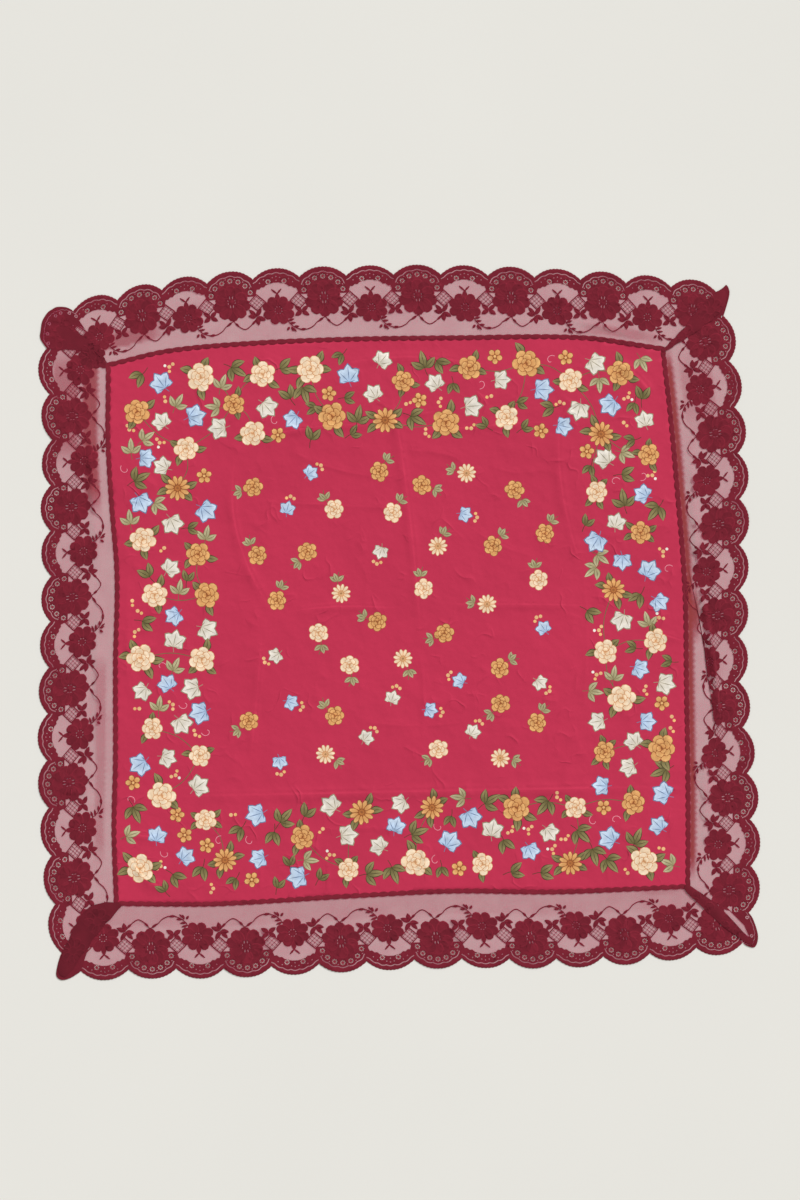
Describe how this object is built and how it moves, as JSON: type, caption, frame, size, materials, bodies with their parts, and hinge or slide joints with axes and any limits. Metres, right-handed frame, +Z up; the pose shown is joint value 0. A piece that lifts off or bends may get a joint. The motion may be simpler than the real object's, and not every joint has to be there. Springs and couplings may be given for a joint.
{
  "type": "square lace-edged scarf, laid out flat",
  "caption": "Square printed cotton scarf with a wide scalloped lace edging, laid out flat with soft creases and lapped mitred corners.",
  "frame": {"origin": "on the surface it lies on, under the middle of the scarf's outline", "axes": "+Z up from the surface, out of the printed side; +Y from the side shown nearest to the viewer to the far side; +X to the right"},
  "size_m": [0.902, 0.893, 0.007],
  "materials": {
    "printed_cotton": "fine plain-woven cotton with a soft sheen, deep rose red, printed with cream, apricot, pale blue and olive flowers and leaves",
    "dyed_lace": "matt wine-red machine lace: dense flowers, cord outlines and eyelets on a sheer fine net"
  },
  "bodies": {
    "root": {"printed_square": "printed_cotton", "lace_edging_top": "dyed_lace", "lace_edging_right": "dyed_lace", "lace_edging_bottom": "dyed_lace", "lace_edging_left": "dyed_lace"}
  },
  "joints": []
}
